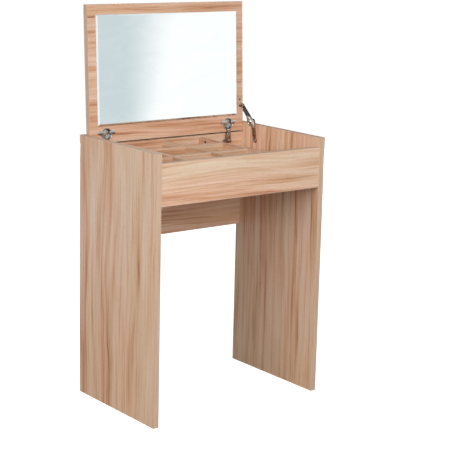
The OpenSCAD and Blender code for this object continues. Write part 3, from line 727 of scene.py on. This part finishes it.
def add_screw(shape, frame, radius=SCREW_R, head=SCREW_HEAD, shank=12.0 * MM, shank_r=SHANK_R, turn=0.4):
    """A pan-head screw whose head rests on the frame's z = 0, with a cross recess."""
    rings = 22
    profile = []
    for i in range(rings + 1):
        r = 0.72 * radius * i / rings
        profile.append((r, head * (1 - 0.22 * (r / radius) ** 2)))
    profile += [(0.86 * radius, 0.80 * head), (0.95 * radius, 0.58 * head), (radius, 0.25 * head),
                (radius, 0.0), (shank_r, 0.0), (shank_r, -shank), (0.2 * shank_r, -shank - shank_r)]
    shape.lathe(profile, frame @ Matrix.Rotation(turn, 4, "Z"), 72, cross_recess(radius))


def spring_housing(shape, place, depth):
    """The cup's spring housing, domed across so that it shows one upright highlight."""
    half_wide = 10.5 * MM

    def half(t):
        return half_wide * (1 - max((t - 8.0 * MM) / (6.5 * MM), 0.0) ** 3) ** 0.5

    def top(t, away, width):
        slope = 1.2 * MM * ease(t, 12.0 * MM, 14.4 * MM)
        return -0.6 * MM - 3.4 * MM * (away / half_wide) ** 2 - slope

    def bottom(t, away, width):
        return -depth + 0.8 * MM
    shape.leaf(half, 3.2 * MM, 14.4 * MM, top, bottom, place @ SWAP_XY, 40, 28)


def hinge_cup(side, bright):
    """The pressed cup with its rolled flange, winged ears and spring housing."""
    low, high = box_in(f"{side}_hinge_cup", LID_AXES)
    x = (low.x + high.x) / 2
    v = (low.y + high.y) / 2
    flange_top = high.z
    face = flange_top - CUP_FLANGE
    depth = face - low.z
    place = LID_AXES @ Matrix.Translation((x, v, face))
    flange_r = (high.y - low.y) / 2
    cup_r = flange_r - 1.5 * MM
    shape = Shape()
    shape.lathe([
        (0.0, -depth), (cup_r - 1.5 * MM, -depth), (cup_r - 0.3 * MM, -depth + 0.5 * MM),
        (cup_r, -depth + 1.6 * MM), (cup_r, 0.0), (flange_r - 0.3 * MM, 0.0), (flange_r, 0.35 * MM),
        (flange_r, 0.8 * MM), (flange_r - 0.35 * MM, 1.15 * MM), (cup_r + 0.1 * MM, 1.2 * MM),
        (cup_r - 0.6 * MM, 1.0 * MM), (cup_r - 1.05 * MM, 0.5 * MM), (cup_r - 1.2 * MM, -0.4 * MM),
        (cup_r - 1.2 * MM, -depth + 3.2 * MM), (cup_r - 1.7 * MM, -depth + 1.7 * MM),
        (cup_r - 3.0 * MM, -depth + 1.05 * MM), (8.0 * MM, -depth + 1.0 * MM),
        (7.4 * MM, -depth + 1.4 * MM), (5.5 * MM, -depth + 1.5 * MM), (0.0, -depth + 1.5 * MM),
    ], place, 72)
    wing_r = 6.0 * MM
    wing_v = 6.0 * MM
    wing_from = 10.0 * MM
    wing_l = (high.x - low.x) / 2 - wing_from
    wing = rounded(wing_l, 2 * wing_r, wing_r - 0.1 * MM, 10)
    for s in (-1, 1):
        ear = place @ Matrix.Translation((s * (wing_from + wing_l / 2), wing_v, 0.0))
        shape.plate(wing, 0.0, CUP_FLANGE, 0.35 * MM, ear)
        rib = place @ Matrix.Translation((s * (cup_r + 1.2 * MM), wing_v, 0.0))
        shape.plate(rounded(3.2 * MM, 7.0 * MM, 1.5 * MM), 0.6 * MM, 1.75 * MM, 0.5 * MM, rib)
    spring_housing(shape, place, depth)
    shape.piece(f"{side}_cup", "lid", bright, [f"{side}_hinge_cup"])
    return x, v + wing_v, face, (high.x - low.x) / 2 - wing_r


def cup_screws(places, material):
    shape = Shape()
    for x, v, face, reach in places:
        for turn, s in ((0.35, -1), (0.9, 1)):
            seat = LID_AXES @ Matrix.Translation((x + s * reach, v, face + CUP_FLANGE))
            add_screw(shape, seat, turn=turn + x)
    shape.piece("cup_screws", "lid", material, ["hinge_cup_screws"])


def pin_profile(end_radius, radius, half, chamfer):
    """The profile of a round pin with chamfered ends."""
    side = [(0.0, half), (end_radius, half), (radius, half - chamfer)]
    return [(r, -h) for r, h in side] + side[::-1]


def hinge_pin(side, material):
    low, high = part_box(f"{side}_hinge_pin")
    place = centre(low, high)
    half = (high.x - low.x) / 2
    r = (high.z - low.z) / 2
    shape = Shape()
    shape.lathe(pin_profile(0.8 * r, r, half, 0.3 * r), facing_right(place), 24)
    shape.piece(f"{side}_pin", "lid", material, [f"{side}_hinge_pin"])


def hinge_link(side, material):
    """The hooked link: up out of the arm, round a smooth shoulder and back into the cup."""
    low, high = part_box(f"{side}_hinge_link")
    axis = Vector(JOINTS["lid_hinge"]["pos_m"])
    x = (low.x + high.x) / 2
    thick = 3.0 * MM
    line_y = low.y + thick / 2
    bend = 5.0 * MM
    points = [Vector((x, line_y, low.z + (axis.z - bend - low.z) * i / 6)) for i in range(7)]
    for i in range(1, 9):
        a = math.pi / 2 * i / 8
        y = line_y + bend * (1 - math.cos(a))
        points.append(Vector((x, y, axis.z - bend + bend * math.sin(a))))
    for i in range(1, 4):
        points.append(Vector((x, line_y + bend + (axis.y - line_y - bend) * i / 3, axis.z)))
    half = (high.x - low.x) / 2

    def section(t):
        """A lens with flat sides, widest at the shoulder."""
        wide = half * (1.0 + 0.28 * math.exp(-((t - 0.52) / 0.16) ** 2))
        edge = 0.9 * MM
        across = [wide * (i / 8 - 1) for i in range(17)]
        upper = [(a, (edge + (thick - edge) * (1 - (a / wide) ** 2)) / 2) for a in across]
        return upper + [(a, -b) for a, b in reversed(upper)]
    shape = Shape()
    shape.sweep(points, X, section)
    knuckle = 2.2 * MM
    chamfer = 0.4 * MM
    shape.lathe(pin_profile(knuckle - chamfer, knuckle, half, chamfer),
                facing_right((x, axis.y, axis.z)), 32)
    shape.piece(f"{side}_link", "carcass", material, [f"{side}_hinge_link"])


def hinge_arm(side, material):
    """The pressed channel over the mounting plate, closed in at its ends."""
    low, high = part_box(f"{side}_hinge_arm")
    x = (low.x + high.x) / 2
    wall = 1.6 * MM
    deep = high.y - low.y
    half = (high.x - low.x) / 2

    def skin(edge, lift, r):
        """One side of the bent sheet: down a wall, round the corner and its mirror image."""
        points = [(edge, deep)]
        for i in range(7):
            a = math.pi / 2 * i / 6
            points.append((edge + r - r * math.cos(a), lift + r - r * math.sin(a)))
        return points + [(-px, py) for px, py in reversed(points)]

    def section(narrow, lift):
        r = 3.0 * MM
        outer = skin(narrow - half, lift, r)
        inner = skin(narrow - half + wall, lift + wall, r - wall)
        return outer + list(reversed(inner))
    shape = Shape()
    # Share of the height, and in mm how much narrower and how far sunk the channel is there
    levels = [(0.0, 1.2, 1.0), (0.02, 0.4, 0.5), (0.06, 0.0, 0.0), (0.55, 0.0, 0.0), (0.8, 1.3, 0.0),
              (0.95, 1.7, 0.0), (0.985, 2.0, 0.3), (1.0, 2.5, 0.7)]
    loops = []
    for t, narrow, lift in levels:
        z = low.z + (high.z - low.z) * t
        loops.append([(x + px, low.y + py, z) for px, py in section(narrow * MM, lift * MM)])
    shape.rings(loops)
    shape.piece(f"{side}_arm", "carcass", material, [f"{side}_hinge_arm"])


def arm_screws(material):
    low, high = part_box("hinge_arm_screws")
    shape = Shape()
    for x in (low.x + SCREW_R, high.x - SCREW_R):
        for turn, z in ((0.2, low.z + SCREW_R), (1.1, high.z - SCREW_R)):
            seat = facing_front((x, low.y + SCREW_HEAD, z))
            add_screw(shape, seat, shank=4.0 * MM, shank_r=2.0 * MM, turn=turn + x)
    shape.piece("arm_screws", "carcass", material, ["hinge_arm_screws"])


PLATE_EDGE = 0.4 * MM
PLATE_SCREW_X = 12.4 * MM


def hinge_plate(side, material):
    """The mounting plate: rounded wings for the wood screws and a raised block under the arm."""
    low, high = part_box(f"{side}_hinge_plate")
    x = (low.x + high.x) / 2
    thick = 2.0 * MM
    wing_h = 11.0 * MM
    wing_z = low.z + 1.5 * MM + wing_h / 2
    shape = Shape()
    seat = facing_front((x, high.y, wing_z))
    wings = rounded(high.x - low.x, wing_h, wing_h / 2 - 0.1 * MM, 10)
    shape.plate(wings, 0.0, thick, PLATE_EDGE, seat)
    for s in (-1, 1):
        boss = seat @ Matrix.Translation((s * PLATE_SCREW_X, 0, 0))
        shape.lathe([(0.0, 0.0), (4.4 * MM, 0.0), (4.4 * MM, thick), (4.1 * MM, thick + 0.35 * MM),
                     (3.5 * MM, thick + 0.4 * MM), (0.0, thick + 0.4 * MM)], boss, 40)
    tongue = facing_front((x, high.y, (low.z + high.z) / 2))
    shape.plate(rounded(13.4 * MM, high.z - low.z, 3.0 * MM), 0.0, thick, PLATE_EDGE, tongue)
    block = facing_front((x, high.y, low.z + 10.0 * MM))
    block_top = high.y - low.y - 0.4 * MM
    shape.plate(rounded(12.6 * MM, 13.6 * MM, 2.0 * MM), thick / 2, block_top, 0.9 * MM, block)
    shape.piece(f"{side}_plate", "carcass", material, [f"{side}_hinge_plate"])


def plate_screws(material):
    low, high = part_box("hinge_plate_screws")
    shape = Shape()
    spread = 24.8 * MM
    first, last = low.x + SCREW_R, high.x - SCREW_R
    for x in (first, first + spread, last - spread, last):
        seat = facing_front((x, low.y + SCREW_HEAD, (low.z + high.z) / 2))
        add_screw(shape, seat, turn=0.5 + 7.0 * x)
    shape.piece("plate_screws", "carcass", material, ["hinge_plate_screws"])


# -------- lid stay

LOWER_PIVOT = Vector(JOINTS["stay_lower_pivot"]["pos_m"])
UPPER_PIVOT = Vector(JOINTS["stay_upper_pivot"]["pos_m"])
ELBOW = centre(*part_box("stay_elbow_stud"))
ELBOW_R = 9.0 * MM
EYE_T = 2.0 * MM
EYE_SET_BACK = 0.1 * MM

# Eye radius, half widths at the bar's two ends, where the joggle runs, depth of the channel
LOWER_ARM = (8.0 * MM, 6.2 * MM, 8.2 * MM, (9.0 * MM, 14.0 * MM), 0.8 * MM)
UPPER_ARM = (6.0 * MM, 6.2 * MM, 7.4 * MM, (8.0 * MM, 15.0 * MM), 0.7 * MM)


def stay_frame(node, start, end):
    """A frame at start with x towards end, z towards the sitter's left, on the node's right face."""
    along = Vector((0, end.y - start.y, end.z - start.z)).normalized()
    out = -X
    return axes(Vector((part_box(node)[1].x, start.y, start.z)), along, out.cross(along), out)


def dog_bone(length, end_a, end_b, bar_a, bar_b):
    """Half width along a bar with a round eye at each end, blended into its tapering middle."""
    def half(t):
        bar = bar_a + (bar_b - bar_a) * min(max(t / length, 0.0), 1.0) if 0 <= t <= length else 0.0
        eye_a = math.sqrt(max(end_a ** 2 - t ** 2, 0.0))
        eye_b = math.sqrt(max(end_b ** 2 - (t - length) ** 2, 0.0))
        return (bar ** 6 + eye_a ** 6 + eye_b ** 6) ** (1 / 6)
    return half


def rolled(depth, away, width, radius):
    """The height of a face whose long edges are rolled over to that radius."""
    past = min(max((abs(away) - (width - radius)) / radius, 0.0), 1.0)
    return depth - radius * (1 - math.sqrt(1 - past * past))


def unmirrored(piece):
    """Keeps a piece out of reflections and shadows, because the photograph's glass shows neither."""
    piece.visible_glossy = False
    piece.visible_shadow = False


def stay_arm(name, body, material, slot, start, measures):
    """A pressed arm: a flat eye at its pivot, a joggled step, and a channel up to the elbow."""
    node = f"stay_{name}"
    eye_r, half_start, half_end, joggle, crown = measures
    low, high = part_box(node)
    depth = high.x - low.x
    length = (ELBOW - start).yz.length
    half = dog_bone(length, eye_r, ELBOW_R, half_start, half_end)

    def top(t, away, width):
        step = ease(t, *joggle)
        height = EYE_T + EYE_SET_BACK + (depth - EYE_T - EYE_SET_BACK) * step
        sunk = crown * step * (1 - ease(t, length - 14 * MM, length - 8 * MM))
        sunk *= 1 - ease(abs(away) / width, 0.45, 0.62)
        return rolled(height - sunk, away, width, 1.3 * MM)

    def bottom(t, away, width):
        back = EYE_SET_BACK * (1 - ease(t, joggle[0], joggle[1]))
        hollow = ease(t, joggle[0] + 1.5 * MM, joggle[1] + 2 * MM)
        hollow *= 1 - ease(t, length - 13 * MM, length - 11 * MM)
        hollow *= 1 - ease(abs(away), width - 2.0 * MM, width - 1.3 * MM)
        return back + hollow * (depth - 2.2 * MM)
    shape = Shape()
    place = stay_frame(node, start, ELBOW)
    shape.leaf(half, -eye_r, length + ELBOW_R, top, bottom, place, 100, 44)
    unmirrored(shape.piece(name, body, material, [node], slot))


def button(shape, frame, radius, height, dimple=0.0):
    """A domed rivet head on the frame's z = 0, with a shallow dimple where dimple is above 0."""
    profile = []
    for i in range(15):
        a = math.pi / 2 * i / 14
        r = radius * math.sin(a)
        sunk = dimple * math.exp(-(r / (0.35 * radius)) ** 2)
        profile.append((r, height * (0.25 + 0.75 * math.cos(a)) - sunk))
    profile += [(radius, 0.0), (0.0, 0.0)]
    shape.lathe(profile, frame, 48)


def stay_housing(bright, dark):
    """The lens-shaped spring housing at the elbow, with a sunk ring round its rivet."""
    low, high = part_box("stay_elbow_housing")
    thick = high.x - low.x
    reach = 25.0 * MM
    wide = 13.0 * MM
    place = stay_frame("stay_elbow_housing", ELBOW, UPPER_PIVOT)

    def half(t):
        return wide * max(1 - (abs(t) / reach) ** 1.8, 0.0) ** 0.9

    def top(t, away, width):
        edge = max(abs(t) / reach, abs(away) / width)
        crown = thick * (1 - 0.28 * ease(edge, 0.25, 0.88) - 0.44 * ease(edge, 0.88, 1.0))
        ring = math.exp(-((math.hypot(t, away) - 7.6 * MM) / (0.9 * MM)) ** 2)
        return crown - 1.0 * MM * ring

    def bottom(t, away, width):
        return 0.0
    shape = Shape()
    shape.leaf(half, -reach, reach, top, bottom, place, 120, 56)
    unmirrored(shape.piece("elbow_housing", "stay_upper", bright, ["stay_elbow_housing"]))
    rivet = place @ Matrix.Translation((0, 0, thick - 0.1 * MM))
    shape = Shape()
    button(shape, rivet, 5.0 * MM, 1.3 * MM, 0.5 * MM)
    unmirrored(shape.piece("elbow_rivet", "stay_upper", dark, ["stay_elbow_cap"]))
    low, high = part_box("stay_elbow_stud")
    shape = Shape()
    stud = facing_right((low.x, ELBOW.y, ELBOW.z))
    button(shape, stud, (high.z - low.z) / 2, high.x - low.x)
    shape.piece("elbow_stud", "stay_lower", dark, ["stay_elbow_stud"])


def stay_pivots(nickel, bright):
    """The washer and shoulder screw on the side panel."""
    low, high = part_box("stay_side_washer")
    outer = (high.z - low.z) / 2
    place = Vector((high.x, LOWER_PIVOT.y, LOWER_PIVOT.z))
    shape = Shape()
    t = high.x - low.x
    shape.lathe([(3.05 * MM, 0.0), (outer - 0.3 * MM, 0.0), (outer, 0.3 * MM), (outer, t - 0.3 * MM),
                 (outer - 0.3 * MM, t), (3.4 * MM, t), (3.05 * MM, t - 0.3 * MM), (3.05 * MM, 0.0)],
                facing_left(place), 56)
    shape.piece("side_washer", "carcass", nickel, ["stay_side_washer"])
    low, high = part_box("stay_side_screw")
    head_at = Vector((low.x + SCREW_HEAD, LOWER_PIVOT.y, LOWER_PIVOT.z))
    shape = Shape()
    add_screw(shape, facing_left(head_at), radius=(high.z - low.z) / 2,
              shank=high.x - head_at.x - 2.0 * MM, shank_r=2.0 * MM, turn=0.7)
    shape.piece("side_screw", "carcass", bright, ["stay_side_screw"])


def stay_bracket(nickel, bright, dark):
    """The folded bracket on the lid: a screwed plate and an ear for the upper pivot."""
    low, high = box_in("stay_lid_bracket", LID_AXES)
    face = low.z
    thick = 1.5 * MM
    ear_t = 2.0 * MM
    ear_r = 5.5 * MM
    pivot = LID_AXES.inverted() @ UPPER_PIVOT
    shape = Shape()
    place = LID_AXES @ Matrix.Translation(((low.x + high.x) / 2, (low.y + high.y) / 2, face))
    shape.plate(rounded(high.x - low.x, high.y - low.y, 3.0 * MM), 0.0, thick, PLATE_EDGE, place)
    ear = [(ear_r * math.cos(a), ear_r * math.sin(a)) for a in (math.pi * i / 24 for i in range(25))]
    foot = pivot.z - face
    ear = [(ear_r + 1.0 * MM, -foot + 0.2 * MM)] + ear + [(-ear_r - 1.0 * MM, -foot + 0.2 * MM)]
    ear_place = LID_AXES @ facing_right((high.x, pivot.y, pivot.z)) @ Matrix.Translation((0, 0, -ear_t))
    shape.plate(ear, 0.0, ear_t, PLATE_EDGE, ear_place)
    shape.piece("lid_bracket", "lid", nickel, ["stay_lid_bracket"])
    screws_low, screws_high = box_in("stay_bracket_screws", LID_AXES)
    shape = Shape()
    for turn, v in ((0.3, screws_low.y + SCREW_R), (1.2, screws_high.y - SCREW_R)):
        seat = Matrix.Translation(((screws_low.x + screws_high.x) / 2, v, face + thick))
        add_screw(shape, LID_AXES @ seat, turn=turn)
    shape.piece("bracket_screws", "lid", dark, ["stay_bracket_screws"])
    low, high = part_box("stay_lid_rivet")
    r = (high.z - low.z) / 2
    head = 1.2 * MM
    inner = (low.x + head, UPPER_PIVOT.y, UPPER_PIVOT.z)
    outer = (high.x - head, UPPER_PIVOT.y, UPPER_PIVOT.z)
    shape = Shape()
    button(shape, facing_left(inner), r, head, 0.3 * MM)
    button(shape, facing_right(outer), r, head)
    shank = 2.5 * MM
    length = high.x - low.x - 2 * head
    shape.lathe([(0.0, 0.0), (shank, 0.0), (shank, length), (0.0, length)], facing_right(inner), 40)
    shape.piece("lid_rivet", "lid", bright, ["stay_lid_rivet"])


def gap_shadow_strip():
    """The low dark strip along the back rail's rear edge, which closes the gap under the open lid:
    painted shade, a dark sheet standing in for the shadow in that gap.
    """
    low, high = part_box("back_panel_edging")
    from_rear, thick, sunk, rise = 2.2 * MM, 2.4 * MM, 0.3 * MM, 1.6 * MM
    short_by = 2 * MM
    place = Matrix.Translation(((low.x + high.x) / 2, high.y - from_rear, high.z))
    shape = Shape()
    shape.plate(rounded(high.x - low.x - short_by, thick, 0.6 * MM), -sunk, rise, PLATE_EDGE, place)
    # Painted shade: the strip's dark brown stands in for the shadow in the gap under the lid
    material = plain("gap_shadow_paint", rgb(74, 50, 36), rgb(100, 70, 50), 500.0, 0.7, 0.0)
    shape.piece("gap_shadow_strip", "carcass", material, [], "edging")


def make_hardware():
    bright = metal("bright_nickel", rgb(168, 165, 160), rgb(206, 204, 200), 0.14, 0.28)
    warm = metal("warm_nickel", rgb(128, 110, 94), rgb(172, 156, 138), 0.22, 0.38)
    bronze = metal("bronze_nickel", rgb(112, 88, 72), rgb(158, 136, 118), 0.20, 0.36)
    satin = metal("satin_nickel", rgb(176, 150, 130), rgb(202, 178, 158), 0.42, 0.58)
    screw = metal("screw_zinc", rgb(176, 174, 170), rgb(214, 212, 208), 0.16, 0.30)
    brown = metal("browned_screw", rgb(88, 64, 50), rgb(130, 100, 80), 0.26, 0.42)
    # Partly painted reflection: the upper arm's dark steel colour also stands in for the dark
    # surroundings that its plating reflects
    dark = metal("dark_steel", rgb(66, 64, 70), rgb(98, 96, 102), 0.20, 0.36)
    places = []
    for side in ("left", "right"):
        places.append(hinge_cup(side, bright))
        hinge_pin(side, screw)
        hinge_link(side, bright)
        hinge_arm(side, warm)
        hinge_plate(side, warm)
    cup_screws(places, screw)
    arm_screws(screw)
    plate_screws(screw)
    stay_arm("lower_arm", "stay_lower", bronze, "nickel_plate", LOWER_PIVOT, LOWER_ARM)
    stay_arm("upper_arm", "stay_upper", dark, "dark_steel", UPPER_PIVOT, UPPER_ARM)
    stay_housing(bright, screw)
    stay_pivots(warm, bright)
    stay_bracket(satin, warm, brown)
    gap_shadow_strip()


# -------- stage


def staged(name, points, material):
    """A four-cornered sheet that belongs to the studio and not to the table."""
    mesh = bpy.data.meshes.new(name)
    mesh.from_pydata(points, [], [(0, 1, 2, 3)])
    mesh.materials.append(material)
    made = bpy.data.objects.new(name, mesh)
    bpy.context.scene.collection.objects.link(made)
    return made


def make_floor():
    """A pale floor with a glow of its own, which lights nothing else."""
    paint = Paint("studio_floor")
    paint.shader.inputs["Base Color"].default_value = rgb(FLOOR_GREY, FLOOR_GREY, FLOOR_GREY)
    paint.shader.inputs["Roughness"].default_value = FLOOR_ROUGHNESS
    paint.shader.inputs["Emission Color"].default_value = WHITE
    paint.shader.inputs["Emission Strength"].default_value = FLOOR_GLOW
    h = FLOOR_HALF
    floor = staged("studio_floor", [(-h, -h, 0), (h, -h, 0), (h, h, 0), (-h, h, 0)], paint.material)
    floor.visible_diffuse = False


def make_reflector():
    """A grey-to-white card in front of the table, which only reflections show."""
    paint = Paint("reflector_card")
    parts = paint.node("ShaderNodeSeparateXYZ", {0: paint.place})
    width = paint.math("MULTIPLY_ADD", parts.outputs["Z"], CARD_STEP_WIDENS, CARD_STEP_WIDTH)
    along = paint.math("DIVIDE", paint.math("SUBTRACT", parts.outputs["X"], CARD_GREY_AT), width)
    shade = paint.span(along, 0.0, 1.0)
    colour = paint.mix(shade, CARD_GREY, CARD_BRIGHT)
    left = paint.span(parts.outputs["X"], CARD_LEFT_WHITE, CARD_LEFT_GREY)
    colour = paint.mix(left, WHITE, colour)
    paint.shader.inputs["Base Color"].default_value = BLACK
    paint.tree.links.new(colour, paint.shader.inputs["Emission Color"])
    paint.shader.inputs["Emission Strength"].default_value = 1.0
    corners = [(CARD_LEFT_END, CARD_Y, CARD_FOOT), (CARD_RIGHT_END, CARD_Y, CARD_FOOT),
               (CARD_RIGHT_END, CARD_Y, CARD_TOP), (CARD_LEFT_END, CARD_Y, CARD_TOP)]
    card = staged("reflector_card", corners, paint.material)
    card.visible_camera = False
    card.visible_diffuse = False
    card.visible_shadow = False


make_camera()
make_world()
make_lights()
dress_boards()
dress_fixings()
make_hardware()
make_floor()
make_reflector()
